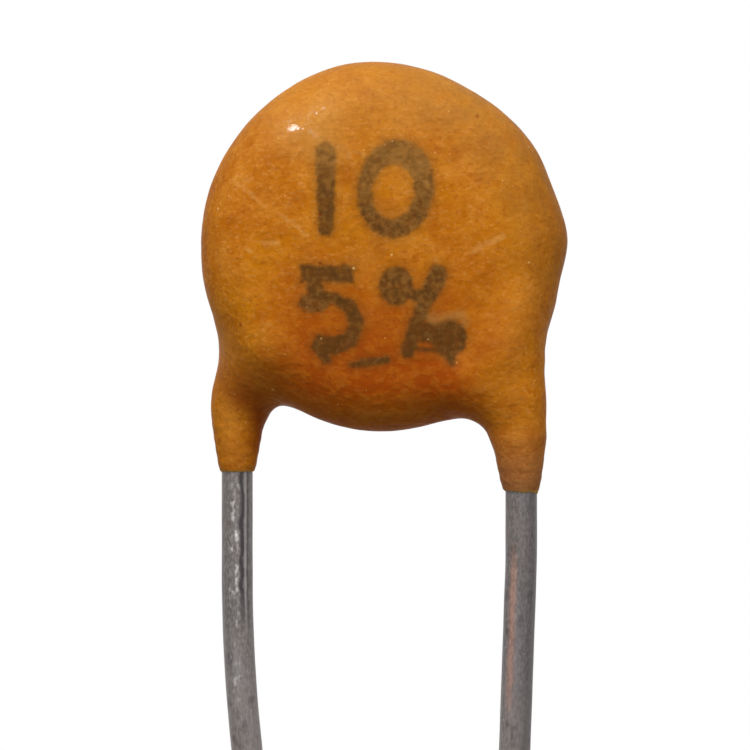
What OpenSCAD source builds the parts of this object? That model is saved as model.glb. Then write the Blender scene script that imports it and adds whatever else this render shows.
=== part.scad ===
// Ceramic disc capacitor with two radial leads, in millimetres.
// A thin round ceramic plate has a silver electrode on each face. One tinned wire is soldered to each
// electrode, and the whole is dipped in a phenolic coating that runs a little way down both wires.
// The leads point down -Z and the printed face looks along -Y. The origin lies midway between the
// leads, at the seating plane, where the longer coated leg ends.

/* [Dipped body] */
// Diameter of the dipped disc
body_d = 6.54; // [5.4:0.02:8]
// Sideways offset of the disc's centre from the middle of the leads
body_x = 0.08; // [-0.2:0.02:0.2]
// Height of the disc's lowest point above the seating plane
body_lift = 1.1; // [0.9:0.05:1.6]
// Coating over the wire where it lies on the face
face_cover = 0.36; // [0.34:0.01:0.6]
// Coating outside the ceramic plate's edge
rim_cover = 0.45; // [0.3:0.01:0.8]
// Width of the rounded rim, measured inwards from the edge
rim_w = 0.72; // [0.5:0.02:0.9]
// Fall of each face from its middle to the start of the rim
face_crown = 0.12; // [0:0.01:0.2]

/* [Coated legs] */
// Coating round the left wire where it leaves the disc
left_cover = 0.2; // [0.14:0.01:0.3]
// Coating round the right wire where it leaves the disc
right_cover = 0.28; // [0.14:0.01:0.3]
// Height at which the left leg's coating ends above the seating plane
left_rise = 0.35; // [0:0.05:0.6]
// Coating left at the very end of a leg
end_cover = 0.03; // [0.02:0.01:0.06]
// Radius of the arch between the left leg and the disc
left_arch_r = 0.4; // [0.3:0.02:0.55]
// Radius of the arch between the right leg and the disc
right_arch_r = 0.44; // [0.3:0.02:0.55]
// Thickness of the coating web above each arch
web_t = 0.9; // [0.6:0.05:1.2]

/* [Ceramic element] */
// Thickness of the ceramic plate
ceramic_t = 0.5; // [0.3:0.05:1]
// Thickness of each silver electrode
electrode_t = 0.03; // [0.02:0.01:0.06]
// Bare ceramic left between an electrode and the plate's edge
electrode_margin = 0.3; // [0.2:0.02:0.5]

/* [Leads] */
// Distance between the two wires, side to side
pitch = 5.08; // [4.3:0.02:6.2]
// Diameter of the wire
wire_d = 0.56; // [0.46:0.01:0.68]
// Length of wire below the seating plane
lead_length = 12; // [10:0.5:30]
// Height above the seating plane at which the wires turn in towards the disc
turn_z = 1.2; // [1:0.05:1.5]
// Radius of that turn
turn_r = 2.6; // [2:0.05:2.7]
// Distance from the disc's middle to the end of each wire, side to side
wire_end_x = 0.4; // [0.2:0.02:0.7]
// Height of the wire's end above the disc's middle
wire_end_z = 0.2; // [0:0.02:0.5]
// Straight wire below the seating plane before the left lead curves in
left_straight = 1.5; // [1:0.1:3]
// Radius of the left lead's long slow curve
left_curve_r = 29; // [15:1:60]
// Lean of the left lead at the end of that curve, in degrees
left_lean = 6; // [3:0.5:8]
// Straight wire between that curve and the one that turns it back
left_between = 0.5; // [0.2:0.1:2]
// Lean that is left in the lower part of the left lead, in degrees
left_tip_lean = 1.5; // [1:0.5:2.5]
// Straight wire below the seating plane before the right lead leans in
right_straight = 1; // [0.8:0.1:3]
// Radius of the right lead's kink
right_kink_r = 12; // [5:1:30]
// Lean of the right lead below the kink, in degrees
right_lean = 2; // [1:0.5:5]

/* [Solder] */
// Gap between the wire and its electrode, which the solder fills
solder_gap = 0.03; // [0.02:0.01:0.08]
// Length of the solder along the wire
solder_l = 1.1; // [0.6:0.1:1.6]
// Solder outside the wire
solder_wall = 0.14; // [0.08:0.01:0.2]

/* [Hidden] */

LEFT = 1;    // the left wire lies on the back face
RIGHT = -1;  // the right wire lies on the front face
FRONT = 1;
BACK = -1;

body_r = body_d / 2;
body_z = body_lift + body_r;
ceramic_d = body_d - 2 * rim_cover;
electrode_d = ceramic_d - 2 * electrode_margin;
plate_half = ceramic_t / 2 + electrode_t;      // middle of the plate to an electrode's outer face
wire_y = plate_half + solder_gap + wire_d / 2; // middle of the plate to a wire's centre
body_half = wire_y + wire_d / 2 + face_cover;  // middle of the plate to the top of a face
solder_d = wire_d + 2 * solder_wall;
solder_sink = solder_wall / 2;                 // the solder's centre lies this much nearer the plate
web_drop = 0.08;     // the web starts no lower than this under the wires' turn
hair = 0.01;         // gap that a joint's ball bridges between two pieces of rod
joint_proud = 0.006; // a joint's ball is this much thicker than the rod
leg_steps = 6;
face_steps = 5;
rim_steps = 9;
tip_steps = 5;
tip_flat = 15; // angle from the axis at which a rounded tip starts, inside its small flat
$fn = 48;

function leg_cover(side) = side == LEFT ? left_cover : right_cover;
function leg_r(side) = wire_d / 2 + leg_cover(side);
function leg_end(side) = side == LEFT ? left_rise : 0;
function arch_r(side) = side == LEFT ? left_arch_r : right_arch_r;

// From the top of a wire's straight part to its end: sideways reach and rise
function reach(side) = pitch / 2 + side * body_x - wire_end_x;
rise = body_z + wire_end_z - turn_z;

// Turn that points the wire at its end, and the straight run from the turn to that end
function turn_gap(side) = norm([reach(side) - turn_r, rise]);
function turn_angle(side) = acos(-turn_r / turn_gap(side)) - atan2(rise, reach(side) - turn_r);
function turn_run(side) = sqrt(pow(turn_gap(side), 2) - pow(turn_r, 2));

// Centre of the arch that touches the leg's inner side and the disc's edge, from the wire's axis
function arch_x(side) = leg_r(side) + arch_r(side);
function arch_z(side) = body_z
    - sqrt(pow(body_r + arch_r(side), 2) - pow(pitch / 2 + side * body_x - arch_x(side), 2));

// Lowest level of the web, just under the turn, so that the straight wire below stands clear of it
function web_z(side) = max(arch_z(side), turn_z - web_drop);

// Half section of the disc from its flat middle to the edge, as [radius, height]
function face_points() = [for (i = [0 : face_steps])
    [(body_r - rim_w) * i / face_steps,
     body_half - face_crown * pow(max(0, i - 1) / (face_steps - 1), 2)]];
function rim_points() = [for (i = [1 : rim_steps])
    let (a = 90 - 90 * i / rim_steps)
    [body_r - rim_w + rim_w * cos(a), (body_half - face_crown) * sin(a)]];
function mirrored(points) = [for (i = [len(points) - 1 : -1 : 0]) [points[i].x, -points[i].y]];

// Radius of a coated leg at a share of the way up from its end
function leg_swell(side, share) = wire_d / 2 + end_cover + (leg_cover(side) - end_cover) * pow(share, 0.7);

// Places its children at the top of one wire's straight part, with +X towards the other wire
module at_turn(side) {
    mirror([side == LEFT ? 0 : 1, 0, 0])
        translate([-pitch / 2, side * wire_y, turn_z])
            children();
}

// One straight piece of rod, from the origin down, a hair short of its neighbours
module straight(length, d) {
    translate([0, 0, hair - length])
        cylinder(h = length - 2 * hair, d = d);
}

// One rod with rounded ends that reach past its length, from the origin down
module round_ended_rod(length, d) {
    top = [for (i = [0 : tip_steps])
        let (a = tip_flat + (90 - tip_flat) * i / tip_steps)
        [d / 2 * sin(a), d / 2 * cos(a)]];
    outline = concat([[0, top[0].y]], top);
    translate([0, 0, -length / 2])
        rotate_extrude()
            polygon(concat([for (p = outline) [p.x, p.y + length / 2]],
                           [for (p = mirrored(outline)) [p.x, p.y - length / 2]]));
}

// One bent piece of rod, from the origin down, turning towards +X, with a ball that joins each end to
// the next piece
module bend(radius, angle, d) {
    translate([radius, 0, 0])
        rotate([90, 0, 0])
            rotate([0, 0, 180])
                rotate_extrude(angle = angle, $fn = max(64, 4 * radius))
                    translate([radius, 0])
                        circle(d = d);
    sphere(d = d + joint_proud);
    after_bend(radius, angle)
        sphere(d = d + joint_proud);
}

module after_straight(length) {
    translate([0, 0, -length])
        children();
}

module after_bend(radius, angle) {
    translate([radius, 0, 0])
        rotate([0, -angle, 0])
            translate([-radius, 0, 0])
                children();
}

// The stretch of a wire that the coating hides, or the coating's own rod round it
module buried_rod(side, d) {
    mirror([0, 0, 1]) {
        bend(turn_r, turn_angle(side), d);
        after_bend(turn_r, turn_angle(side))
            straight(turn_run(side), d);
    }
}

// Left wire below the turn: straight, a long slow curve inwards, and most of the way back
module left_tail() {
    back_angle = left_lean - left_tip_lean;
    used = left_straight + left_between * cos(left_lean)
        + left_curve_r * (2 * sin(left_lean) - sin(left_tip_lean));
    straight(turn_z + left_straight, wire_d);
    after_straight(turn_z + left_straight) {
        bend(left_curve_r, left_lean, wire_d);
        after_bend(left_curve_r, left_lean) {
            straight(left_between, wire_d);
            after_straight(left_between)
                mirror([1, 0, 0]) {
                    bend(left_curve_r, back_angle, wire_d);
                    after_bend(left_curve_r, back_angle)
                        straight((lead_length - used) / cos(left_tip_lean), wire_d);
                }
        }
    }
}

// Right wire below the turn: straight, then a slight kink inwards
module right_tail() {
    used = right_straight + right_kink_r * sin(right_lean);
    straight(turn_z + right_straight, wire_d);
    after_straight(turn_z + right_straight) {
        bend(right_kink_r, right_lean, wire_d);
        after_bend(right_kink_r, right_lean)
            straight((lead_length - used) / cos(right_lean), wire_d);
    }
}

module dipped_disc() {
    half = concat(face_points(), rim_points());
    translate([body_x, 0, body_z])
        rotate([90, 0, 0])
            rotate_extrude($fn = 128)
                polygon(concat(half, mirrored([for (i = [0 : len(half) - 2]) half[i]])));
}

// Coating round one wire, thinning to almost nothing at its lower end
module coated_leg(side) {
    length = turn_z - leg_end(side) - hair;
    at_turn(side) {
        translate([0, 0, -length - hair])
            rotate_extrude()
                polygon(concat([[0, 0]],
                    [for (i = [0 : leg_steps]) [leg_swell(side, i / leg_steps), length * i / leg_steps]],
                    [[0, length]]));
        buried_rod(side, 2 * leg_r(side));
    }
}

// Coating that bridges the corner between one leg and the disc, over a round arch
module web(side) {
    turn_x = turn_r * (1 - cos(turn_angle(side)));
    turn_top = turn_z + turn_r * sin(turn_angle(side));
    mirror([side == LEFT ? 0 : 1, 0, 0])
        translate([-pitch / 2, side * wire_y / 2, 0])
            rotate([90, 0, 0])
                linear_extrude(height = web_t, center = true)
                    difference() {
                        polygon([[0, web_z(side)],
                                 [arch_x(side), web_z(side)],
                                 [pitch / 2 + side * body_x, body_z],
                                 [turn_x, turn_top]]);
                        translate([arch_x(side), arch_z(side)])
                            circle(r = arch_r(side));
                    }
}

module coating() {
    color([0.72, 0.4, 0.09])
        difference() {
            union() {
                dipped_disc();
                for (side = [LEFT, RIGHT]) {
                    coated_leg(side);
                    web(side);
                }
            }
            ceramic_disc();
            front_electrode();
            back_electrode();
            left_lead();
            right_lead();
            front_solder();
            back_solder();
        }
}

module ceramic_disc() {
    color([0.8, 0.76, 0.66])
        translate([body_x, 0, body_z])
            rotate([90, 0, 0])
                cylinder(h = ceramic_t, d = ceramic_d, center = true, $fn = 96);
}

module electrode(face) {
    color([0.82, 0.82, 0.8])
        translate([body_x, -face * (ceramic_t + electrode_t) / 2, body_z])
            rotate([90, 0, 0])
                cylinder(h = electrode_t, d = electrode_d, center = true, $fn = 96);
}

module front_electrode() {
    electrode(FRONT);
}

module back_electrode() {
    electrode(BACK);
}

module left_lead() {
    color([0.5, 0.49, 0.48])
        at_turn(LEFT) {
            buried_rod(LEFT, wire_d);
            left_tail();
        }
}

module right_lead() {
    color([0.5, 0.49, 0.48])
        at_turn(RIGHT) {
            buried_rod(RIGHT, wire_d);
            right_tail();
        }
}

// Solder round the end of one wire, flat where it wets the electrode
module solder(side) {
    color([0.66, 0.66, 0.66])
        difference() {
            at_turn(side)
                mirror([0, 0, 1])
                    after_bend(turn_r, turn_angle(side))
                        after_straight(turn_run(side) - solder_l)
                            translate([0, -side * solder_sink, 0])
                                round_ended_rod(solder_l, solder_d);
            at_turn(side)
                buried_rod(side, wire_d);
            translate([body_x, side * (plate_half - body_r), body_z])
                cube(2 * body_r, center = true);
        }
}

module front_solder() {
    solder(RIGHT);
}

module back_solder() {
    solder(LEFT);
}

coating();
ceramic_disc();
front_electrode();
back_electrode();
left_lead();
right_lead();
front_solder();
back_solder();
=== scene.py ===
import math
import bpy
import numpy as np
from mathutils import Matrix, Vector, noise


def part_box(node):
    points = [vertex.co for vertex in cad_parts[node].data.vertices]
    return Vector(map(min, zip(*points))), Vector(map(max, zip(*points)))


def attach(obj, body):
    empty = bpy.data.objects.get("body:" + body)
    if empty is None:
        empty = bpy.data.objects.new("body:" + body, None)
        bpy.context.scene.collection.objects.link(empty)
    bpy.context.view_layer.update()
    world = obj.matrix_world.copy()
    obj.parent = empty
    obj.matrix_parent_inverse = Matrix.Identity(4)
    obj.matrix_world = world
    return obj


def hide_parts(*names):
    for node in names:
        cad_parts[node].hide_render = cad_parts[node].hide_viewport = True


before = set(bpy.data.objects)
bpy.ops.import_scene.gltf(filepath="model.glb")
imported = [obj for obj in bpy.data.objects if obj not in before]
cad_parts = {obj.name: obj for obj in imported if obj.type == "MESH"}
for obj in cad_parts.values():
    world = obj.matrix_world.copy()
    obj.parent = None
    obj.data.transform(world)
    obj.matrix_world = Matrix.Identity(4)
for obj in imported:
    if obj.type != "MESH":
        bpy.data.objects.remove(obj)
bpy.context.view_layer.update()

# ---------------------------------------------------------------------------
# Studio: the capacitor stands on the tips of its leads on a pale table, with white all round it.
# A wide softbox hangs above and in front, a small lamp sits at the upper left for the glints on the wax,
# and two weak panels fill in from the front and from behind.
MM = 0.001
TABLE_WHITE = (0.80, 0.80, 0.81, 1.0)
TABLE_BOUNCE = (0.34, 0.34, 0.34, 1.0)
AIR_GREY = (0.21, 0.21, 0.215, 1.0)
WHITE = (1.0, 1.0, 1.0, 1.0)
NEAR_TABLE = 28 * MM
FAR_TABLE = 46 * MM
PICTURE_W = 13.42 * MM
LENS = 150.0
AIM_LEFT = 0.13 * MM
AIM_BELOW = 1.75 * MM
TABLE_HALF = 2.0

coat_low, coat_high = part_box("coating")
lead_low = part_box("left_lead")[0]
coat_mid = (coat_low + coat_high) / 2

view = bpy.data.cameras.new("camera")
view.lens = LENS
view.sensor_width = 36.0
view.clip_start = 1 * MM
view.clip_end = 10.0
camera = bpy.data.objects.new("camera", view)
stand_off = PICTURE_W * LENS / view.sensor_width
camera.location = (coat_mid.x - AIM_LEFT, -stand_off, coat_mid.z - AIM_BELOW)
camera.rotation_euler = (math.radians(90), 0, 0)
bpy.context.scene.collection.objects.link(camera)
bpy.context.scene.camera = camera
bpy.context.scene.view_settings.view_transform = "Standard"


def put(tree, kind, *inputs, **named):
    """Adds one node. Inputs go by position or by name; None leaves one alone, and a socket is linked."""
    made = tree.nodes.new("ShaderNode" + kind)
    fill(made, *inputs, **named)
    return made


def fill(made, *inputs, **named):
    """Gives a node its settings and inputs."""
    sockets = []
    for name, value in named.items():
        if hasattr(made, name):
            setattr(made, name, value)
        else:
            sockets.append((made.inputs[name.replace("_", " ")], value))
    sockets += [(made.inputs[i], value) for i, value in enumerate(inputs) if value is not None]
    for socket, value in sockets:
        if isinstance(value, bpy.types.NodeSocket):
            made.id_data.links.new(value, socket)
        else:
            socket.default_value = value


def seen_directly(tree):
    """1 for a ray from the camera, a mirror or glass, and 0 for light that falls on something."""
    path = put(tree, "LightPath").outputs
    either = put(tree, "Math", path["Is Camera Ray"], path["Is Glossy Ray"], operation="MAXIMUM")
    return put(tree, "Math", either.outputs[0], path["Is Transmission Ray"], operation="MAXIMUM").outputs[0]


air = bpy.data.worlds.new("studio_air")
bpy.context.scene.world = air
air.use_nodes = True
tree = air.node_tree
tree.nodes.clear()
soft = put(tree, "Background", AIR_GREY, 1.0)
bright = put(tree, "Background", WHITE, 1.0)
blend = put(tree, "MixShader", seen_directly(tree), soft.outputs[0], bright.outputs[0])
put(tree, "OutputWorld", blend.outputs[0])

table_mesh = bpy.data.meshes.new("table")
corners = [(x * TABLE_HALF, y * TABLE_HALF, 0) for x, y in ((-1, -1), (1, -1), (1, 1), (-1, 1))]
table_mesh.from_pydata(corners, [], [(0, 1, 2, 3)])
table = bpy.data.objects.new("table", table_mesh)
table.location.z = lead_low.z
bpy.context.scene.collection.objects.link(table)
table_finish = bpy.data.materials.new("pale_table")
table_finish.use_nodes = True
tree = table_finish.node_tree
tree.nodes.remove(tree.nodes["Principled BSDF"])

# Near the part the table is matt and takes its shadow. Further off it is seen as plain white.
seen = seen_directly(tree)
pale = put(tree, "BsdfDiffuse", TABLE_WHITE, 1.0)
dim = put(tree, "BsdfDiffuse", TABLE_BOUNCE, 1.0)
matt = put(tree, "MixShader", seen, dim.outputs[0], pale.outputs[0])
spot = put(tree, "TexCoord").outputs["Object"]
away = put(tree, "VectorMath", spot, operation="LENGTH").outputs["Value"]
distant = put(tree, "MapRange", away, NEAR_TABLE, FAR_TABLE, interpolation_type="SMOOTHSTEP").outputs[0]
hidden = put(tree, "Math", distant, seen, operation="MULTIPLY").outputs[0]
glow = put(tree, "Emission", WHITE, 1.0)
blend = put(tree, "MixShader", hidden, matt.outputs[0], glow.outputs[0])
tree.links.new(blend.outputs[0], tree.nodes["Material Output"].inputs["Surface"])
table_mesh.materials.append(table_finish)


def hang_lamp(name, size, azimuth, elevation, distance, level, tint, mirrored=True):
    """An area lamp aimed at the disc. Level is what it adds to a white card that faces it."""
    lamp = bpy.data.lights.new(name, "AREA")
    lamp.shape = "RECTANGLE"
    lamp.size, lamp.size_y = size
    lamp.energy = level * (math.pi * distance) ** 2
    lamp.color = tint
    turn, rise = math.radians(azimuth), math.radians(elevation)
    back = Vector((math.sin(turn) * math.cos(rise), -math.cos(turn) * math.cos(rise), math.sin(rise)))
    made = bpy.data.objects.new(name, lamp)
    made.location = coat_mid + back * distance
    made.rotation_euler = back.to_track_quat("Z", "Y").to_euler()
    made.visible_glossy = mirrored
    bpy.context.scene.collection.objects.link(made)


hang_lamp("softbox", (130 * MM, 50 * MM), -9, 48, 95 * MM, 1.27, (1.0, 0.99, 0.97))
hang_lamp("glint_lamp", (14 * MM, 14 * MM), -28, 31, 90 * MM, 0.13, (1.0, 1.0, 1.0))
hang_lamp("fill_panel", (120 * MM, 120 * MM), 40, 8, 160 * MM, 0.10, (0.97, 0.98, 1.0))
hang_lamp("back_panel", (80 * MM, 80 * MM), 180, 10, 160 * MM, 0.28, (1.0, 1.0, 1.0), mirrored=False)

# ---------------------------------------------------------------------------
# Ceramic plate: a pressed and fired titanate disc, unglazed, with fine pores and a few iron specks.
# It is the first part made, and everything else is fixed to it.
FIRED_CREAM = (0.66, 0.58, 0.44, 1.0)
FIRED_TAN = (0.52, 0.43, 0.30, 1.0)
IRON_SPECK = (0.16, 0.10, 0.06, 1.0)


def new_group(name, ins, outs):
    """A shader node group, with the output sockets of its input node and the inputs of its output node."""
    made = bpy.data.node_groups.new(name, "ShaderNodeTree")
    for label, kind, value in ins:
        socket = made.interface.new_socket(label, in_out="INPUT", socket_type="NodeSocket" + kind)
        if value is not None:
            socket.default_value = value
    for label, kind in outs:
        made.interface.new_socket(label, in_out="OUTPUT", socket_type="NodeSocket" + kind)
    return made, made.nodes.new("NodeGroupInput").outputs, made.nodes.new("NodeGroupOutput").inputs


# Cloudy patches: noise pushed apart between two levels, for mottling, grain and wear
patches_group, given, result = new_group(
    "patches",
    [("Place", "Vector", None), ("Scale", "Float", 1.0), ("Detail", "Float", 2.0),
     ("Low", "Float", 0.35), ("High", "Float", 0.65)],
    [("Mask", "Float")],
)
tree = patches_group
clouds = put(tree, "TexNoise", Vector=given["Place"], Scale=given["Scale"], Detail=given["Detail"])
levels = put(tree, "MapRange", clouds.outputs["Fac"], given["Low"], given["High"])
levels.interpolation_type = "SMOOTHSTEP"
tree.links.new(levels.outputs[0], result["Mask"])

# Specks: small round dots in a share of the cells of an uneven grid
specks_group, given, result = new_group(
    "specks",
    [("Place", "Vector", None), ("Scale", "Float", 1.0), ("Radius", "Float", 0.2), ("Share", "Float", 0.1)],
    [("Mask", "Float")],
)
tree = specks_group
cells = put(tree, "TexVoronoi", Vector=given["Place"], Scale=given["Scale"])
chance = put(tree, "SeparateColor", cells.outputs["Color"])
kept = put(tree, "Math", chance.outputs[0], given["Share"], operation="LESS_THAN")
size = put(tree, "Math", chance.outputs[1], given["Radius"], operation="MULTIPLY")
inner = put(tree, "Math", size.outputs[0], 0.45, operation="MULTIPLY")
round_dot = put(tree, "MapRange", cells.outputs["Distance"], inner.outputs[0], size.outputs[0], 1.0, 0.0)
dots = put(tree, "Math", round_dot.outputs[0], kept.outputs[0], operation="MULTIPLY")
tree.links.new(dots.outputs[0], result["Mask"])


def patches(tree, place, scale, detail=2.0, low=0.35, high=0.65):
    """Cloudy mask; scale is in clouds per millimetre."""
    made = put(tree, "Group", node_tree=patches_group)
    fill(made, place, scale, detail, low, high)
    return made.outputs[0]


def specks(tree, place, scale, radius, share):
    """Mask of round specks; scale is in cells per millimetre."""
    made = put(tree, "Group", node_tree=specks_group)
    fill(made, place, scale, radius, share)
    return made.outputs[0]


def in_mm(tree, stretch=(1.0, 1.0, 1.0), shift=(0.0, 0.0, 0.0)):
    """Place on the object in millimetres, stretched for a grain that runs one way."""
    place = put(tree, "TexCoord").outputs["Object"]
    scale = tuple(1000.0 * s for s in stretch)
    return put(tree, "Mapping", place, shift, (0, 0, 0), scale).outputs[0]


def mix(tree, share, first, second):
    """Mixes two colours: a share of 0 gives the first, and 1 the second."""
    made = put(tree, "Mix", data_type="RGBA")
    fill(made, share, None, None, None, None, None, first, second)
    return made.outputs[2]


def times(tree, first, second):
    return put(tree, "Math", first, second, operation="MULTIPLY").outputs[0]


def plus(tree, first, second):
    return put(tree, "Math", first, second, operation="ADD").outputs[0]


def spread(tree, mask, low, high):
    """Turns a mask from 0 to 1 into a value from low to high."""
    return put(tree, "MapRange", mask, 0.0, 1.0, low, high).outputs[0]


def new_finish(name, **constants):
    """A material, its node tree and its shader."""
    made = bpy.data.materials.new(name)
    made.use_nodes = True
    shader = made.node_tree.nodes["Principled BSDF"]
    fill(shader, **constants)
    return made, made.node_tree, shader


def relief(tree, shader, height, depth):
    """Fine surface relief; depth is the height of a full step, in metres."""
    bump = put(tree, "Bump", Strength=1.0, Distance=depth, Height=height)
    tree.links.new(bump.outputs[0], shader.inputs["Normal"])


def give(piece, finish):
    """Puts a material in a piece's only slot."""
    if not piece.material_slots:
        piece.data.materials.append(finish)
    piece.material_slots[0].material = finish


fired_plate, tree, shader = new_finish("fired_plate", Specular_IOR_Level=0.4)
place = in_mm(tree)
tone = mix(tree, patches(tree, place, 1.1, 4.0), FIRED_CREAM, FIRED_TAN)
tone = mix(tree, specks(tree, place, 5.0, 0.3, 0.12), tone, IRON_SPECK)
grain = patches(tree, place, 22.0, 3.0, 0.3, 0.7)
pores = specks(tree, place, 9.0, 0.25, 0.3)
fill(shader, Base_Color=tone, Roughness=spread(tree, grain, 0.5, 0.72))
relief(tree, shader, put(tree, "Math", grain, pores, operation="SUBTRACT").outputs[0], 0.006 * MM)
give(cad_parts["ceramic_disc"], fired_plate)

# ---------------------------------------------------------------------------
# Electrodes: silver paste screen-printed on both faces of the plate and fired on. The weave of the
# screen shows faintly, and the silver has begun to tarnish in patches.
BRIGHT_SILVER = (0.82, 0.80, 0.76, 1.0)
TARNISH = (0.58, 0.52, 0.42, 1.0)
SCREEN_PER_MM = 5.5

fired_silver, tree, shader = new_finish("fired_silver", Metallic=1.0)
place = in_mm(tree)
clouds = patches(tree, place, 0.9, 5.0, 0.4, 0.75)
across = put(tree, "TexWave", place, SCREEN_PER_MM, bands_direction="X", wave_profile="SIN")
along = put(tree, "TexWave", place, SCREEN_PER_MM, bands_direction="Z", wave_profile="SIN")
weave = times(tree, across.outputs["Fac"], along.outputs["Fac"])
grain = patches(tree, place, 30.0, 2.0)
fill(shader, Base_Color=mix(tree, clouds, BRIGHT_SILVER, TARNISH))
dull = plus(tree, times(tree, clouds, 0.6), times(tree, grain, 0.4))
fill(shader, Roughness=spread(tree, dull, 0.34, 0.56))
relief(tree, shader, plus(tree, times(tree, weave, 0.7), times(tree, grain, 0.3)), 0.003 * MM)
give(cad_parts["front_electrode"], fired_silver)
give(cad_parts["back_electrode"], fired_silver)

# ---------------------------------------------------------------------------
# Leads: two tinned wires, one soldered to each electrode. They bend inwards under the coating, leave it
# side by side, and sag a little from handling. Drawing leaves fine lines along the wire, pliers leave a
# groove and nicks, and the side cutters leave a wedge at the tip.
# Shapes are worked out in millimetres, and turned into metres when their mesh is made.
WIRE_R = 0.28
PITCH = 5.08
WIRE_Y = 0.59
TURN_Z = 1.2
TURN_R = 2.6
DISC_X = 0.08
DISC_Z = 4.37
WIRE_END_X = 0.4
WIRE_END_Z = 0.2
LEAD_TIP = -12.0
LEFT = -1
RIGHT = 1
SAG_R = 29.0
KINK_R = 12.0
WEDGE = 0.34
WIRE_STEP = 0.09
WIRE_SIDES = 56
TIN_GREY = (0.168, 0.148, 0.156, 1.0)
TIN_PALE = (0.37, 0.340, 0.335, 1.0)
TIN_BRIGHT = (0.72, 0.70, 0.69, 1.0)
TIN_DARK = (0.045, 0.038, 0.041, 1.0)
COPPER_SHOWING = (0.42, 0.22, 0.15, 1.0)
OLIVE_FILM = (0.140, 0.122, 0.098, 1.0)
HANDLED_TIN = (0.24, 0.205, 0.185, 1.0)


def turn_in(side):
    """Angle of the turn that points a wire at its end, and the straight run after it."""
    reach = PITCH / 2 - side * DISC_X - WIRE_END_X
    rise = DISC_Z + WIRE_END_Z - TURN_Z
    gap = math.hypot(reach - TURN_R, rise)
    return math.acos(-TURN_R / gap) - math.atan2(rise, reach - TURN_R), math.sqrt(gap**2 - TURN_R**2)


def walk(start, heading, parts):
    """Follows a wire in its own plane. Each part is a length and the angle it turns by, in radians."""
    x, z = start
    stops = []
    for length, turn in parts:
        steps = max(1, round(length / WIRE_STEP))
        bend = turn / steps
        chord = length / steps * (math.sin(bend / 2) / (bend / 2) if bend else 1)
        for _ in range(steps):
            x += chord * math.sin(heading + bend / 2)
            z -= chord * math.cos(heading + bend / 2)
            heading += bend
            stops.append((x, z, heading))
    return stops


def wire_stops(side, parts):
    """Points and headings along a whole wire, from its end under the coating to its tip."""
    angle, run = turn_in(side)
    top = (side * PITCH / 2, TURN_Z)
    up = walk(top, math.pi, [(TURN_R * angle, side * angle), (run, 0)])
    up = [(x, z, h - math.pi) for x, z, h in reversed(up)]
    down = walk(top, 0.0, [(length, -side * math.radians(turn)) for length, turn in parts])
    x, z, heading = down[-1]
    rest = (z - LEAD_TIP) / math.cos(heading)
    return up + [(*top, 0.0)] + down + walk((x, z), heading, [(rest, 0)])


def lay_wire(name, side, parts, relief_of):
    """Sweeps a round wire along its path, down to the wedge at its tip. relief_of gives the surface's
    height for an angle round the wire and a height z. Each point keeps the cosine and sine of its angle
    and its length along the wire, from the seating plane, as wire_place."""
    stops = wire_stops(side, parts)
    count = len(stops)
    x, z, heading = (np.array(column) for column in zip(*stops))
    length = np.concatenate([[0], np.cumsum(np.hypot(np.diff(x), np.diff(z)))])
    length -= np.interp(0, -z, length)
    angle = np.linspace(0, 2 * math.pi, WIRE_SIDES, endpoint=False)
    turn, down = np.meshgrid(angle, z)
    radius = WIRE_R + relief_of(turn, down)
    tip = np.clip(1 - (down - LEAD_TIP) / WEDGE, 0, 1)
    flat = 1 - 0.62 * tip**1.3
    round_in = 1 - 0.25 * tip**3
    out_x = radius * np.cos(turn) * flat
    out_y = radius * np.sin(turn) * round_in
    points = np.stack([x[:, None] + out_x * np.cos(heading)[:, None],
                       out_y - side * WIRE_Y,
                       z[:, None] + out_x * np.sin(heading)[:, None]], axis=-1)
    points = points.reshape(-1, 3)
    points[:, 2] = np.maximum(points[:, 2], LEAD_TIP)
    ring = np.arange(WIRE_SIDES)
    after = (ring + 1) % WIRE_SIDES
    faces = []
    for i in range(count - 1):
        a, b = i * WIRE_SIDES, (i + 1) * WIRE_SIDES
        faces += np.stack([a + ring, b + ring, b + after, a + after], axis=1).tolist()
    caps = [points[:WIRE_SIDES].mean(0), points[-WIRE_SIDES:].mean(0)]
    first, last = len(points), len(points) + 1
    faces += [(first, int(i), int(j)) for i, j in zip(ring, after)]
    base = (count - 1) * WIRE_SIDES
    faces += [(last, int(base + j), int(base + i)) for i, j in zip(ring, after)]
    mesh = bpy.data.meshes.new(name)
    mesh.from_pydata((np.vstack([points, caps]) * MM).tolist(), [], faces)
    mesh.shade_smooth()
    where = np.stack([np.cos(turn), np.sin(turn), np.repeat(length[:, None], WIRE_SIDES, axis=1)], axis=-1)
    where = np.vstack([where.reshape(-1, 3), [[0, 0, length[0]], [0, 0, length[-1]]]])
    mark = mesh.attributes.new("wire_place", "FLOAT_VECTOR", "POINT")
    mark.data.foreach_set("vector", where.astype(np.float32).ravel())
    piece = bpy.data.objects.new(name, mesh)
    bpy.context.scene.collection.objects.link(piece)
    return piece


def dent(value, at, width):
    """A smooth hump, 1 at its middle."""
    return np.exp(-(((value - at) / width) ** 2))


def drawn_lines(turn, down, seed):
    """Shallow lines that the drawing die leaves, drifting slowly round the wire."""
    relief = np.zeros_like(turn)
    for line in range(9):
        drift = 0.25 * np.sin(0.35 * down + 2.1 * line + seed)
        gap = np.angle(np.exp(1j * (turn - drift - 0.7 * line - seed)))
        relief -= (0.0022 + 0.0015 * math.sin(3.1 * line + seed)) * dent(gap, 0, 0.09)
    return relief + 0.0016 * np.sin(down * 5.3 + seed) * np.sin(turn * 2 + down)


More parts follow.
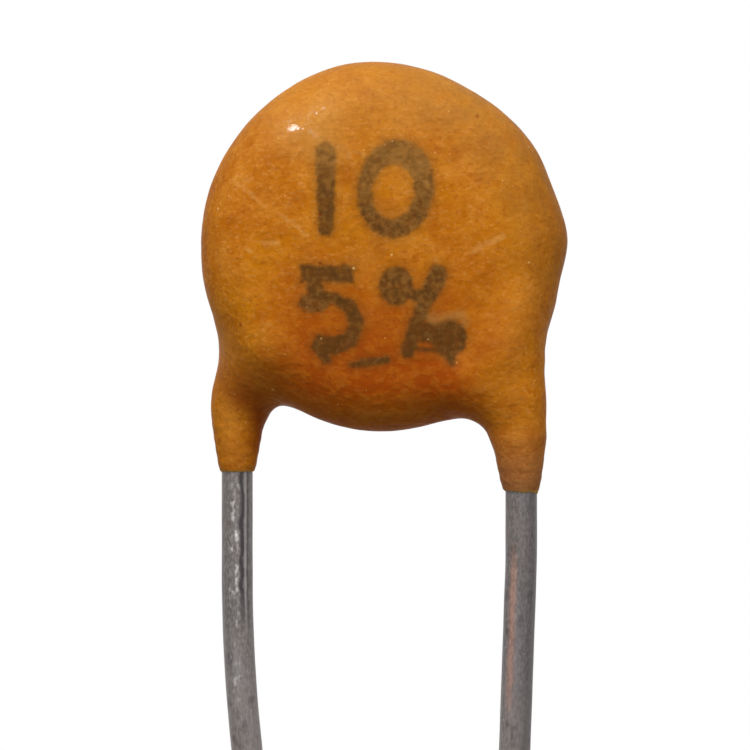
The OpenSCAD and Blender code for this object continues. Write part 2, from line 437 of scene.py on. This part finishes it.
def left_relief(turn, down):
    """Lines, a long groove in front, right of the middle, and two nicks from the pliers."""
    gap = np.angle(np.exp(1j * (turn + math.radians(64))))
    groove = dent(gap, 0, 0.26) * dent(down, -0.95, 1.25)
    nick = dent(np.angle(np.exp(1j * (turn + 1.9))), 0, 0.5)
    nick = nick * (dent(down, -2.6, 0.09) + dent(down, -6.4, 0.12))
    return drawn_lines(turn, down, 0.4) - 0.02 * groove - 0.008 * nick


def right_relief(turn, down):
    """Lines and a shallow scrape."""
    gap = np.angle(np.exp(1j * (turn + math.radians(100))))
    scrape = dent(gap, 0, 0.22) * dent(down, -2.3, 1.3)
    nick = dent(np.angle(np.exp(1j * (turn + 1.2))), 0, 0.5) * dent(down, -7.5, 0.12)
    return drawn_lines(turn, down, 2.3) - 0.008 * scrape - 0.007 * nick


left_parts = [(TURN_Z + 1.5, 0), (SAG_R * math.radians(6), 6), (0.5, 0), (SAG_R * math.radians(4.5), -4.5)]
right_parts = [(TURN_Z + 1.0, 0), (KINK_R * math.radians(2), 2)]
left_wire = lay_wire("left_wire", LEFT, left_parts, left_relief)
right_wire = lay_wire("right_wire", RIGHT, right_parts, right_relief)


def streak(tree, place, turn, half_width, start, end, ragged):
    """Mask of a streak along a wire, by its angle round the wire, its half width in radii and its ends."""
    way = (math.cos(math.radians(turn)), math.sin(math.radians(turn)), 0.0)
    across = (way[1], -way[0], 0.0)
    facing = put(tree, "VectorMath", place, way, operation="DOT_PRODUCT").outputs["Value"]
    aside = put(tree, "VectorMath", place, across, operation="DOT_PRODUCT").outputs["Value"]
    aside = put(tree, "Math", plus(tree, aside, ragged), operation="ABSOLUTE").outputs[0]
    near = put(tree, "MapRange", aside, half_width, 0.3 * half_width).outputs[0]
    down = put(tree, "SeparateXYZ", place).outputs[2]
    begun = put(tree, "MapRange", down, start - 0.3, start + 0.3).outputs[0]
    over = put(tree, "MapRange", down, end + 0.4, end - 0.4).outputs[0]
    turned = put(tree, "Math", facing, 0.0, operation="GREATER_THAN").outputs[0]
    return times(tree, times(tree, near, turned), times(tree, begun, over))


wire_finishes = {}
for name, shift in (("left", 7.0), ("right", 31.0)):
    tinned, tree, shader = new_finish("tinned_wire_" + name, Metallic=0.6)
    place = put(tree, "Attribute", attribute_name="wire_place").outputs["Vector"]
    lines = put(tree, "Mapping", place, (0, 0, shift), (0, 0, 0), (5.0, 5.0, 0.5)).outputs[0]
    hairs = put(tree, "Mapping", place, (0, 0, shift), (0, 0, 0), (7.0, 7.0, 12.0)).outputs[0]
    clouds = put(tree, "Mapping", place, (0, 0, shift), (0, 0, 0), (0.28, 0.28, 1.0)).outputs[0]
    bands = put(tree, "Mapping", place, (0, 0, shift + 3), (0, 0, 0), (1.9, 1.9, 0.10)).outputs[0]

    # Drawn tin: dark lines and bands, a dull film, fingers' wear lower down, and fine pale and dark flecks
    streaks = patches(tree, lines, 1.0, 3.0, 0.34, 0.66)
    hair = patches(tree, hairs, 1.0, 5.0, 0.32, 0.70)
    film = patches(tree, clouds, 0.5, 3.0, 0.40, 0.62)
    flecks = patches(tree, hairs, 0.7, 6.0, 0.55, 0.72)
    smuts = patches(tree, hairs, 0.22, 6.0, 0.55, 0.70)
    pricks = specks(tree, hairs, 0.35, 0.20, 0.14)
    wander = spread(tree, patches(tree, clouds, 3.5, 6.0, 0.3, 0.7), -0.10, 0.10)
    tone = mix(tree, times(tree, streaks, 0.5), TIN_GREY, TIN_DARK)
    tone = mix(tree, times(tree, patches(tree, bands, 1.0, 2.0, 0.42, 0.6), 0.45), tone, TIN_DARK)
    tone = mix(tree, times(tree, film, 0.5), tone, OLIVE_FILM)
    parts = put(tree, "SeparateXYZ", place).outputs
    handled = put(tree, "MapRange", parts[2], 2.2, 3.8, 0.0, 0.42).outputs[0]
    tone = mix(tree, handled, tone, HANDLED_TIN)
    tone = mix(tree, times(tree, hair, 0.32), tone, TIN_PALE)
    tone = mix(tree, times(tree, flecks, 0.34), tone, TIN_PALE)
    tone = mix(tree, times(tree, smuts, 0.45), tone, TIN_DARK)
    tone = mix(tree, times(tree, pricks, 0.5), tone, TIN_BRIGHT)

    # The left wire's groove with its torn bright lip, and on the right wire painted shade down its right side
    # and a scrape down to the copper
    if name == "left":
        lip = streak(tree, place, -98, 0.40, -0.2, 2.4, wander)
        torn = patches(tree, hairs, 0.5, 6.0, 0.48, 0.80)
        tone = mix(tree, times(tree, lip, torn), tone, TIN_BRIGHT)
        groove = streak(tree, place, -69, 0.23, -0.6, 2.2, wander)
        tone = mix(tree, times(tree, groove, 0.97), tone, TIN_DARK)
        tone = mix(tree, times(tree, streak(tree, place, -55, 0.10, -0.6, 2.4, 0.0), 0.5), tone, TIN_PALE)
        tone = mix(tree, times(tree, streak(tree, place, -45, 0.08, -0.6, 2.4, 0.0), 0.6), tone, TIN_DARK)
        rub = streak(tree, place, -103, 0.5, 2.9, 3.6, wander)
        tone = mix(tree, times(tree, rub, plus(tree, times(tree, torn, 0.8), 0.1)), tone, TIN_BRIGHT)
    else:
        # Painted shade down the right wire's side away from the light
        shaded_side = put(tree, "MapRange", parts[0], -0.5, 0.5, 0.0, 0.42).outputs[0]
        tone = mix(tree, shaded_side, tone, TIN_DARK)
        scrape = streak(tree, place, -121, 0.34, 1.1, 3.7, times(tree, wander, 0.5))
        tone = mix(tree, times(tree, scrape, plus(tree, times(tree, hair, 0.3), 0.38)), tone, COPPER_SHOWING)

    dull = plus(tree, times(tree, hair, 0.5), flecks)
    fill(shader, Base_Color=tone, Roughness=spread(tree, dull, 0.38, 0.56))
    relief(tree, shader, plus(tree, times(tree, streaks, 0.6), times(tree, hair, 0.6)), 0.005 * MM)
    wire_finishes[name] = tinned

for wire, node, name in ((left_wire, "left_lead", "left"), (right_wire, "right_lead", "right")):
    give(wire, wire_finishes[name])
    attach(wire, "root")
    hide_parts(node)

# ---------------------------------------------------------------------------
# Solder: one fillet on each electrode, which holds the end of its wire. It has set with a dull, frosty
# skin, smooth where it ran and grainy where it cooled last.
SOLDER_GREY = (0.58, 0.58, 0.60, 1.0)
SOLDER_FROST = (0.40, 0.40, 0.42, 1.0)

set_solder, tree, shader = new_finish("set_solder", Metallic=1.0)
place = in_mm(tree)
frost = patches(tree, place, 2.2, 4.0, 0.42, 0.62)
grain = patches(tree, place, 16.0, 3.0)
fill(shader, Base_Color=mix(tree, frost, SOLDER_GREY, SOLDER_FROST))
fill(shader, Roughness=spread(tree, frost, 0.26, 0.5))
relief(tree, shader, times(tree, frost, grain), 0.006 * MM)
give(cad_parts["front_solder"], set_solder)
give(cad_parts["back_solder"], set_solder)

# ---------------------------------------------------------------------------
# Coating: the soldered plate is dipped in a filled phenolic and waxed. The dip draws into round webs
# between the disc and the wires and runs a little way down them, so the outline is slightly uneven.
# The value, 10 with a tolerance of 5%, is stamped on the front in plain dark figures.
DISC_R = 3.265
RIM_R = 0.88
BODY_HALF = 1.23
FACE_CROWN = 0.28  # how far the faces fall from their middle to the edge
END_SKIN = 0.022  # thickness of the coating where a leg ends
GRID = 0.046  # spacing of the points of its mesh
GRID_LOW = (-3.4, -1.35, -0.15)
GRID_HIGH = (3.6, 1.35, 7.85)
LUMP = 0.012
PORE = 0.0022
FRONT_Y = -0.5  # the print and the scratches lie in front of this
NO_MARK = 9.0  # a distance so large that it means no mark
OCHRE = (0.50, 0.168, 0.004, 1.0)
OCHRE_DEEP = (0.44, 0.128, 0.004, 1.0)
OCHRE_PALE = (0.63, 0.25, 0.03, 1.0)
SHADE_AND_GRIME_BROWN = (0.24, 0.045, 0.004, 1.0)
DRAINED_SHADE_RED = (0.325, 0.052, 0.003, 1.0)
SHEEN_SHADE_GREY = (0.34, 0.132, 0.018, 1.0)
END_BROWN = (0.21, 0.11, 0.06, 1.0)
THIN_YELLOW = (0.60, 0.36, 0.09, 1.0)
PALE_WAX_AND_SHEEN = (0.82, 0.50, 0.16, 1.0)
RED_SPECK = (0.20, 0.035, 0.004, 1.0)
OLD_WAX = (0.40, 0.185, 0.045, 1.0)
INK = (0.106, 0.043, 0.009, 1.0)
INK_WORN = (0.265, 0.120, 0.026, 1.0)

# Swellings and flats of the disc's edge: angle clockwise from the top, width in degrees, height in mm
edge_swells = [(-12, 18, 0.045), (33, 20, -0.06), (70, 8, -0.045), (88, 8, 0.055), (101, 7, -0.04),
               (116, 9, 0.02), (180, 26, 0.045), (-80, 26, -0.025)]

# Runs of coating that fill the corner above each leg: the two ends as x, y, z and radius
cheeks = [((-1.88, -0.4, 2.65, 0.56), (-2.46, 0.54, 1.7, 0.40)),
          ((1.45, -0.62, 2.02, 0.45), (2.36, -0.6, 1.66, 0.44))]

# Each leg of the coating: widest radius, lower end, how far in it leans, and the heights where it bends
leg_shapes = {LEFT: (0.475, 0.32, 0.03, [TURN_Z]), RIGHT: (0.485, 0.0, 0.09, [TURN_Z, 2.0])}


def smooth_join(first, second, reach):
    """The nearer of two surfaces, with the corner between them filled over a reach."""
    share = np.clip(0.5 + 0.5 * (second - first) / reach, 0, 1)
    return second + (first - second) * share - reach * share * (1 - share)


def disc_skin(x, y, z):
    """Distance from the skin of the crowned disc."""
    turn = np.arctan2(x - DISC_X, z - DISC_Z)
    out = np.hypot(x - DISC_X, z - DISC_Z)
    near_edge = np.clip(2.2 * out / DISC_R - 1.2, 0, 1) ** 2
    for at, width, height in edge_swells:
        gap = np.angle(np.exp(1j * (turn - math.radians(at))))
        out = out - height * dent(gap, 0, math.radians(width)) * near_edge
    past_edge = out - (DISC_R - RIM_R)
    past_face = np.abs(y) - (BODY_HALF - FACE_CROWN * (out / DISC_R) ** 2 - RIM_R)
    corner = np.hypot(np.maximum(past_edge, 0), np.maximum(past_face, 0))
    return corner + np.minimum(np.maximum(past_edge, past_face), 0) - RIM_R


def leg_skin(x, y, z, side):
    """Distance from the skin of the coating round one wire, which thins out to nothing at its end."""
    swollen, end, inset, bends = leg_shapes[side]
    angle = turn_in(side)[0] * np.linspace(0, 1, 9)
    nearest = np.full(np.shape(x), 1e3)
    for bend_z in bends:
        line_x = np.concatenate([[PITCH / 2] * 4, PITCH / 2 - TURN_R * (1 - np.cos(angle))])
        line_z = np.concatenate([np.linspace(end, bend_z, 5)[:4], bend_z + TURN_R * np.sin(angle)])
        line_x = side * (line_x - inset * np.clip((line_z - end) / 2.4, 0, 1))
        for i in range(len(line_x) - 1):
            run_x, run_z = line_x[i + 1] - line_x[i], line_z[i + 1] - line_z[i]
            share = ((x - line_x[i]) * run_x + (z - line_z[i]) * run_z) / (run_x**2 + run_z**2)
            share = np.clip(share, 0, 1)
            away_x, away_z = x - line_x[i] - share * run_x, z - line_z[i] - share * run_z
            height = line_z[i] + share * run_z
            radius = WIRE_R + END_SKIN
            radius = radius + (swollen - WIRE_R - END_SKIN) * np.clip(height - end, 0, 1) ** 0.75
            radius = radius * (1 - 0.5 * np.clip((height - 2.3) / 1.4, 0, 1))
            nearest = np.minimum(nearest, np.sqrt(away_x**2 + (y + side * WIRE_Y) ** 2 + away_z**2) - radius)
    turn = np.arctan2(y + side * WIRE_Y, x - side * PITCH / 2)
    lip = end - 0.012 * (1 + side) * np.cos(turn) + 0.006 * np.sin(5 * turn)
    return np.maximum(nearest, lip - z)


def cheek_skin(x, y, z, start, end):
    """Distance from the skin of a rounded run of coating."""
    run = np.subtract(end, start)
    along = (x - start[0]) * run[0] + (y - start[1]) * run[1] + (z - start[2]) * run[2]
    share = np.clip(along / (run[:3] ** 2).sum(), 0, 1)
    away = [place - at - share * step for place, at, step in zip((x, y, z), start, run)]
    return np.sqrt(away[0] ** 2 + away[1] ** 2 + away[2] ** 2) - start[3] - share * run[3]


def coat_skin(x, y, z):
    """Distance from the whole coating's skin, negative inside. The joins are tight over the faces and
    wide at the disc's edge, where they make the webs."""
    edge = np.clip((np.hypot(x - DISC_X, z - DISC_Z) - 2.0) / 1.0, 0, 1)
    edge = edge * edge * (3 - 2 * edge)
    reach = 0.3 + edge * (0.9 - 0.5 * np.clip((x - 2.3) / 0.6, 0, 1))
    body = smooth_join(disc_skin(x, y, z), leg_skin(x, y, z, LEFT), 0.25 + 0.65 * edge)
    body = smooth_join(body, leg_skin(x, y, z, RIGHT), reach)
    for start, end in cheeks:
        body = smooth_join(body, cheek_skin(x, y, z, start, end), 0.35)
    return body


def wrap_skin(skin, low, high, step):
    """Points and quads of a closed mesh where a distance is zero, one point in each crossed grid cell."""
    axes = [np.arange(a, b + step, step) for a, b in zip(low, high)]
    field = skin(*np.meshgrid(*axes, indexing="ij"))
    shape = field.shape
    total = np.zeros((field.size, 3))
    hits = np.zeros(field.size)
    quads = []
    for axis in range(3):
        here = np.take(field, range(shape[axis] - 1), axis)
        there = np.take(field, range(1, shape[axis]), axis)
        crossed = np.argwhere((here < 0) != (there < 0))
        first, second = here[tuple(crossed.T)], there[tuple(crossed.T)]
        point = crossed.astype(float)
        point[:, axis] += first / (first - second)
        one, two = np.eye(3, dtype=int)[(axis + 1) % 3], np.eye(3, dtype=int)[(axis + 2) % 3]
        ring = [np.ravel_multi_index(tuple((crossed - s * one - t * two).T), shape)
                for s, t in ((0, 0), (1, 0), (1, 1), (0, 1))]
        for cell in ring:
            hits += np.bincount(cell, minlength=field.size)
            for i in range(3):
                total[:, i] += np.bincount(cell, point[:, i], field.size)
        quad = np.stack(ring, axis=1)
        quads.append(np.where((first < 0)[:, None], quad, quad[:, ::-1]))
    used = np.flatnonzero(hits)
    name = np.zeros(field.size, int)
    name[used] = np.arange(len(used))
    points = total[used] / hits[used, None] * step + np.array(low)
    return points, name[np.vstack(quads)]


def slope(skin, points, reach=0.01):
    """The distance at each point and its direction of growth."""
    value = skin(*points.T)
    growth = np.stack([skin(*(points + reach * way).T) - skin(*(points - reach * way).T)
                       for way in np.eye(3)], axis=1) / (2 * reach)
    return value, growth


# The grid's points are brought onto the skin in two steps. Lumps and pores then lift and sink it, and
# fade towards the ends of the legs.
points, quads = wrap_skin(coat_skin, GRID_LOW, GRID_HIGH, GRID)
for _ in range(2):
    value, growth = slope(coat_skin, points)
    points = points - (value / (growth**2).sum(1))[:, None] * growth * 0.9
outward = slope(coat_skin, points)[1]
outward /= np.linalg.norm(outward, axis=1)[:, None]

lumps = np.array([noise.noise(Vector(p / 1.3)) + 0.55 * noise.noise(Vector(p / 0.5 + 9)) for p in points])
pores = np.array([noise.noise(Vector(p / 0.17 + 3)) for p in points])
calm = np.clip((points[:, 2] - 0.5) / 0.6, 0.15, 1)
coat_points = points + outward * (calm * (LUMP * lumps + PORE * pores))[:, None]

coat_mesh = bpy.data.meshes.new("dipped_coating")
coat_mesh.from_pydata((coat_points * MM).tolist(), [], quads.tolist())
coat_mesh.shade_smooth()
dipped = bpy.data.objects.new("dipped_coating", coat_mesh)
bpy.context.scene.collection.objects.link(dipped)


def pen(u, v, places, widths):
    """Distance from the edge of a pen line through some places, with a width at each, negative in the ink."""
    edge = np.full(np.shape(u), NO_MARK)
    for (u0, v0), (u1, v1), w0, w1 in zip(places, places[1:], widths, widths[1:]):
        share = ((u - u0) * (u1 - u0) + (v - v0) * (v1 - v0)) / ((u1 - u0) ** 2 + (v1 - v0) ** 2)
        share = np.clip(share, 0, 1)
        gap = np.hypot(u - u0 - share * (u1 - u0), v - v0 - share * (v1 - v0))
        edge = np.minimum(edge, gap - (w0 + share * (w1 - w0)) / 2)
    return edge


def oval(u, v, middle, half_w, half_h, lean):
    """Distance from the edge of a leaning oval, negative inside."""
    angle = math.radians(lean)
    p = (u - middle[0]) * math.cos(angle) - (v - middle[1]) * math.sin(angle)
    q = (u - middle[0]) * math.sin(angle) + (v - middle[1]) * math.cos(angle)
    far = np.hypot(p / half_w, q / half_h)
    return far * (far - 1) / np.maximum(np.hypot(p / half_w**2, q / half_h**2), 1e-6)


def ramp(value, start, end):
    """0 up to the start, 1 from the end on, and even between them."""
    return np.clip((value - start) / (end - start), 0, 1)


# Places on the coating, and across and up from the middle of the disc
x, y, z = points.T
u, v = x - DISC_X, z - DISC_Z

# The print: 10 over 5%, with a dash below
one = pen(u, v, [(-0.99, 1.60), (-1.0, 1.1), (-0.985, 0.27)], [0.36, 0.34, 0.28])
zero = np.maximum(oval(u, v, (0.23, 0.965), 0.675, 0.865, 8), -oval(u, v, (0.19, 0.905), 0.365, 0.48, 8))
five = np.minimum.reduce([
    np.maximum(np.abs(u + 0.97) - 0.46, np.abs(v + 0.53) - 0.15),
    pen(u, v, [(-1.22, -0.62), (-1.17, -0.85)], [0.26, 0.30]),
    pen(u, v, [(-1.31, -1.04), (-1.12, -1.02)], [0.30, 0.34]),
    pen(u, v, [(-1.05, -0.93), (-0.85, -0.96), (-0.56, -1.11), (-0.45, -1.39), (-0.56, -1.68), (-0.81, -1.78),
               (-1.07, -1.78)], [0.24, 0.22, 0.25, 0.27, 0.29, 0.32, 0.34]),
    pen(u, v, [(-1.03, -1.88), (-0.99, -2.03)], [0.32, 0.19]),
])
dash = pen(u, v, [(-0.55, -2.12), (-0.3, -2.08), (0.08, -2.03)], [0.09, 0.16, 0.12])
percent = np.minimum.reduce([
    np.maximum(oval(u, v, (0.24, -0.74), 0.30, 0.33, 0), -oval(u, v, (0.24, -0.72), 0.012, 0.015, 0)),
    pen(u, v, [(0.45, -0.86), (0.72, -0.96)], [0.22, 0.24]),
    pen(u, v, [(0.97, -0.53), (0.90, -0.70), (0.77, -0.95), (0.68, -1.2), (0.63, -1.32), (0.56, -1.57),
               (0.44, -1.88)], [0.33, 0.35, 0.30, 0.26, 0.26, 0.28, 0.25]),
    pen(u, v, [(0.66, -1.55), (1.0, -1.55)], [0.33, 0.36]),
    pen(u, v, [(0.62, -1.86), (0.95, -1.86)], [0.05, 0.07]),
    oval(u, v, (1.17, -1.66), 0.315, 0.33, 10),
    pen(u, v, [(1.17, -1.90), (1.21, -2.07)], [0.26, 0.13]),
])
ink_edge = np.minimum.reduce([one, zero, five, dash, percent])

# Rubbed places on the ink, and fine scratches beside it
scuffs = np.minimum.reduce([
    pen(u, v, [(0.79, -1.28), (0.91, -1.32), (1.17, -1.27), (1.37, -1.23), (1.47, -1.40)],
        [0.12, 0.18, 0.13, 0.17, 0.12]),
    pen(u, v, [(0.60, -1.10), (0.68, -1.14)], [0.05, 0.05]),
    pen(u, v, [(-0.70, 1.74), (-0.60, 1.50)], [0.04, 0.10]),
    pen(u, v, [(-0.94, 1.40), (-0.82, 1.42)], [0.02, 0.05]),
    pen(u, v, [(0.37, 1.35), (0.40, 1.35)], [0.06, 0.03]),
    pen(u, v, [(0.58, 1.22), (0.66, 1.27)], [0.08, 0.03]),
    pen(u, v, [(0.78, 1.07), (0.79, 1.03)], [0.07, 0.03]),
])
scratches = np.minimum.reduce([
    pen(u, v, [(-2.61, 1.12), (-2.24, 0.82), (-2.05, 0.64)], [0.03, 0.03, -0.01]),
    pen(u, v, [(-1.86, 0.57), (-1.50, 0.30), (-1.32, 0.15)], [-0.01, 0.04, 0.02]),
    pen(u, v, [(-2.42, 1.12), (-2.3, 1.16)], [0.03, 0.02]),
    pen(u, v, [(-2.10, 0.02), (-1.84, 0.01)], [0.03, 0.06]),
    pen(u, v, [(-2.40, -0.06), (-2.32, -0.12)], [0.03, 0.05]),
    pen(u, v, [(1.63, -0.11), (1.76, -0.04)], [0.09, 0.05]),
    pen(u, v, [(1.86, 0.00), (2.12, 0.14)], [0.08, 0.06]),
])

# The ink is worn most towards the top and in the nought, and least down the left
fade_from = np.where(u < -0.65, 0.75, 0.3)
wear = 0.95 * ramp(v, fade_from, 1.7) ** 1.2
wear = wear + 0.38 * (1 - wear) * ramp(u, -0.6, 0.1) * (v > -0.2)
wear = wear + 0.25 * (u > -0.1) * (v < -0.2) * (v > -1.15)
wear = wear + 0.3 * dent(np.hypot(u + 1.2, v + 1.0), 0, 0.3)

# Painted shade, in brown: in the webs between the disc and the legs, inside the left leg and low on the left,
# with three faint stains on the front
legs = np.minimum(leg_skin(x, y, z, LEFT), leg_skin(x, y, z, RIGHT))
webs = ramp(np.minimum(disc_skin(x, y, z), legs), 0, 0.18)
webs = webs * ramp(z, 2.3, 1.6) * np.where(x > 0.5, 0.15, 1.0)
inside = ramp(x, -2.42, -2.17) * ramp(x, -1.8, -2.1) * ramp(z, 2.1, 1.5) * ramp(z, 0.4, 0.9)
shade_and_stains = np.maximum(webs, 1.5 * inside)
shade_and_stains = np.maximum(shade_and_stains, 0.6 * ramp(z, 1.4, 0.6) * (x < 0))
for middle, reach, share in (((2.1, -1.6), 0.6, 0.8), ((-0.2, 0.45), 0.9, 0.6), ((-0.62, 1.2), 0.22, 1.4)):
    stain = dent(np.hypot(u - middle[0], v - middle[1]), 0, reach) * (y < 0)
    shade_and_stains = np.maximum(shade_and_stains, share * stain)

# Redder and darker towards the lower edge, clear of the legs, and less on the back: partly painted shade
# where the face turns down from the light, partly a redder coat where the dip drained. The webs and the
# inside of the left leg get it too, as painted shade
low = ramp(z, 4.65, 2.35)
drained_and_shade = low * low * (3 - 2 * low) * (0.35 + 0.65 * ramp(legs, 0, 0.6))
drained_and_shade = drained_and_shade * np.clip(1.35 - ((x - 0.1) / 2.05) ** 2, 0, 1) * np.clip(z - 0.8, 0.6, 1)
drained_and_shade = drained_and_shade * (1 - 0.4 * ramp(y, 0, 0.8))
drained_and_shade = np.maximum(drained_and_shade, 0.5 * np.maximum(webs, inside))

# A painted highlight down the outside of the left leg, and painted shade with a little painted sheen, duller
# and greyer, round the edge at the upper right
pale = dent(x, -2.66, 0.2) * ramp(z, 2.2, 1.6) * ramp(z, 0.4, 1.0) * (y < 0.6)
edge_sheen_shade = ramp(np.hypot(u, v), 1.95, 2.65)
edge_sheen_shade = edge_sheen_shade * np.clip(1.35 - np.abs(np.degrees(np.arctan2(u, v)) - 55) / 62, 0, 1)

# Drops of harder wax at the upper left, the height above each leg's end, and dust low on the right leg
gloss = np.minimum.reduce([
    pen(u, v, [(-1.61, 2.02), (-1.54, 2.04)], [0.13, 0.13]),
    pen(u, v, [(-1.41, 2.03), (-1.38, 2.03)], [0.06, 0.05]),
    pen(u, v, [(-1.27, 2.00), (-1.22, 1.93), (-1.13, 1.87)], [0.05, 0.01, 0.02]),
    pen(u, v, [(-1.14, 2.30), (-1.12, 2.32)], [-0.02, -0.02]),
])
above_end = z - np.where(x < 0, leg_shapes[LEFT][1], leg_shapes[RIGHT][1])
dust = ramp(z, 1.25, 0.15) * (x > 0)

for label, values in (("ink_edge", ink_edge), ("wear", wear), ("scuffs", scuffs), ("scratches", scratches),
                      ("shade_and_stains", shade_and_stains), ("drained_and_shade", drained_and_shade), ("pale", pale), ("edge_sheen_shade", edge_sheen_shade),
                      ("gloss", gloss), ("above_end", above_end), ("dust", dust)):
    if label in ("ink_edge", "scuffs", "scratches", "gloss"):
        values = np.where(y < FRONT_Y, values, NO_MARK)
    mark = coat_mesh.attributes.new(label, "FLOAT", "POINT")
    mark.data.foreach_set("value", values.astype(np.float32))


def marked(tree, label):
    """A value stored on the mesh."""
    return put(tree, "Attribute", attribute_name=label).outputs["Fac"]


waxed, tree, shader = new_finish("waxed_phenolic", Coat_Roughness=0.12, Coat_IOR=1.8)
place = in_mm(tree)

# The phenolic itself: cloudy ochre with a paler bloom, a fine grain, dust in the wax and grime
tone = mix(tree, patches(tree, place, 0.55, 3.0, 0.36, 0.64), OCHRE, OCHRE_DEEP)
bloom = patches(tree, place, 1.5, 5.0, 0.44, 0.70)
tone = mix(tree, times(tree, bloom, 0.40), tone, OCHRE_PALE)
grain = patches(tree, in_mm(tree, (0.95, 1.2, 1.15)), 6.0, 5.0, 0.36, 0.66)
tone = mix(tree, times(tree, grain, 0.24), tone, OCHRE_PALE)
dusty = patches(tree, in_mm(tree, (0.6, 1.0, 1.1), (9.0, 1.0, 4.0)), 17.0, 4.0, 0.50, 0.72)
tone = mix(tree, times(tree, dusty, 0.15), tone, PALE_WAX_AND_SHEEN)
grime = patches(tree, place, 2.8, 6.0, 0.46, 0.74)
tone = mix(tree, times(tree, grime, 0.30), tone, SHADE_AND_GRIME_BROWN)

# What the dip and its age left, and painted light: painted shade and sheen at the upper right, a painted
# highlight on the left leg, painted shade and stains in brown, a redder lower part that is partly painted
# shade, dusty ends, thin yellow lips, grit, and a painted sheen along the top and round the glints
# Painted shade with a little painted sheen round the edge at the upper right
sheen_shaded = times(tree, marked(tree, "edge_sheen_shade"), spread(tree, patches(tree, place, 3.2, 6.0), 0.30, 0.70))
tone = mix(tree, sheen_shaded, tone, SHEEN_SHADE_GREY)
# A painted highlight down the outside of the left leg
tone = mix(tree, times(tree, marked(tree, "pale"), 0.6), tone, OCHRE_PALE)
# Painted shade in brown in the webs, inside the left leg and low on the left, and the faint stains
shade_and_stain = times(tree, marked(tree, "shade_and_stains"), spread(tree, patches(tree, place, 3.0, 3.0), 0.26, 0.52))
tone = mix(tree, shade_and_stain, tone, SHADE_AND_GRIME_BROWN)
# Darker and redder lower down: partly painted shade, partly a drained coat
tone = mix(tree, times(tree, marked(tree, "drained_and_shade"), spread(tree, grain, 0.90, 0.66)), tone, DRAINED_SHADE_RED)
tone = mix(tree, times(tree, marked(tree, "dust"), 0.55), tone, END_BROWN)
thin = put(tree, "MapRange", marked(tree, "above_end"), 0.055, 0.0, 0.0, 0.8).outputs[0]
tone = mix(tree, thin, tone, THIN_YELLOW)
grit = patches(tree, in_mm(tree, shift=(4.0, 7.0, 2.0)), 15.0, 5.0, 0.50, 0.72)
tone = mix(tree, times(tree, grit, 0.34), tone, SHADE_AND_GRIME_BROWN)
# A painted sheen along the top, in pale wax colour
up = put(tree, "SeparateXYZ", place).outputs[2]
top_sheen = put(tree, "MapRange", up, 5.4, 7.2, 0.0, 0.09).outputs[0]
tone = mix(tree, top_sheen, tone, PALE_WAX_AND_SHEEN)
# A painted sheen: a pale halo round the drops of harder wax, where the glints are
glint_halo = put(tree, "MapRange", marked(tree, "gloss"), 0.55, 0.0, 0.0, 0.14).outputs[0]
tone = mix(tree, glint_halo, tone, PALE_WAX_AND_SHEEN)

# The print: ink that bled a little and has worn unevenly, with rubbed places and scratches
ragged = spread(tree, patches(tree, place, 8.0, 4.0, 0.2, 0.8), -0.024, 0.024)
shaky = plus(tree, marked(tree, "ink_edge"), ragged)
bled = put(tree, "MapRange", shaky, 0.16, 0.0, 0.0, 0.30).outputs[0]
inked = put(tree, "MapRange", shaky, 0.05, -0.05, interpolation_type="SMOOTHSTEP").outputs[0]
worn = times(tree, marked(tree, "wear"), spread(tree, patches(tree, place, 3.5, 4.0), 0.75, 1.15))
worn = plus(tree, worn, spread(tree, patches(tree, place, 10.0, 5.0, 0.36, 0.66), -0.28, 0.30))
stamp = mix(tree, worn, INK, INK_WORN)
cover = spread(tree, patches(tree, place, 6.0, 6.0, 0.34, 0.74), 1.0, 0.78)
tone = mix(tree, bled, tone, stamp)
tone = mix(tree, times(tree, inked, cover), tone, stamp)
rubbed = put(tree, "MapRange", plus(tree, marked(tree, "scuffs"), ragged), 0.05, -0.08, 0.0, 0.62).outputs[0]
tone = mix(tree, rubbed, tone, OLD_WAX)
scored = put(tree, "MapRange", plus(tree, marked(tree, "scratches"), ragged), 0.05, -0.04).outputs[0]
tone = mix(tree, times(tree, scored, 0.24), tone, PALE_WAX_AND_SHEEN)

# Specks of wax, pale flakes of it, and grains of red pigment
wax = specks(tree, place, 4.2, 0.17, 0.26)
tone = mix(tree, times(tree, wax, 0.6), tone, PALE_WAX_AND_SHEEN)
flakes = specks(tree, in_mm(tree, shift=(1.0, 2.0, 8.0)), 8.0, 0.2, 0.10)
tone = mix(tree, times(tree, flakes, 0.4), tone, PALE_WAX_AND_SHEEN)
red = specks(tree, in_mm(tree, shift=(3.0, 5.0, 1.0)), 3.6, 0.20, 0.18)
tone = mix(tree, times(tree, red, 0.6), tone, RED_SPECK)

# The sheen: satin all over, and glassy on the drops of harder wax, with ripples in the wax itself
shiny = put(tree, "MapRange", plus(tree, marked(tree, "gloss"), ragged), 0.02, -0.05).outputs[0]
around = put(tree, "MapRange", marked(tree, "gloss"), 0.22, 0.0, 0.0, 0.5).outputs[0]
around = times(tree, around, patches(tree, place, 18.0, 3.0, 0.52, 0.66))
rough = spread(tree, plus(tree, times(tree, grain, 0.5), times(tree, bloom, 0.5)), 0.40, 0.56)
fill(shader, Base_Color=tone, Roughness=rough, Specular_IOR_Level=0.025)
fill(shader, Coat_Weight=plus(tree, shiny, around))
height = plus(tree, times(tree, grain, 0.65), times(tree, wax, 0.6))
relief(tree, shader, plus(tree, height, times(tree, red, -0.6)), 0.012 * MM)
ripple = put(tree, "TexNoise", Vector=place, Scale=7.0, Detail=3.0).outputs["Fac"]
ripple = put(tree, "MapRange", ripple, 0.2, 0.8, interpolation_type="SMOOTHSTEP").outputs[0]
uneven = put(tree, "Bump", Strength=1.0, Distance=0.009 * MM, Height=ripple)
tree.links.new(uneven.outputs[0], shader.inputs["Coat Normal"])
give(dipped, waxed)
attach(dipped, "root")
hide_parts("coating")
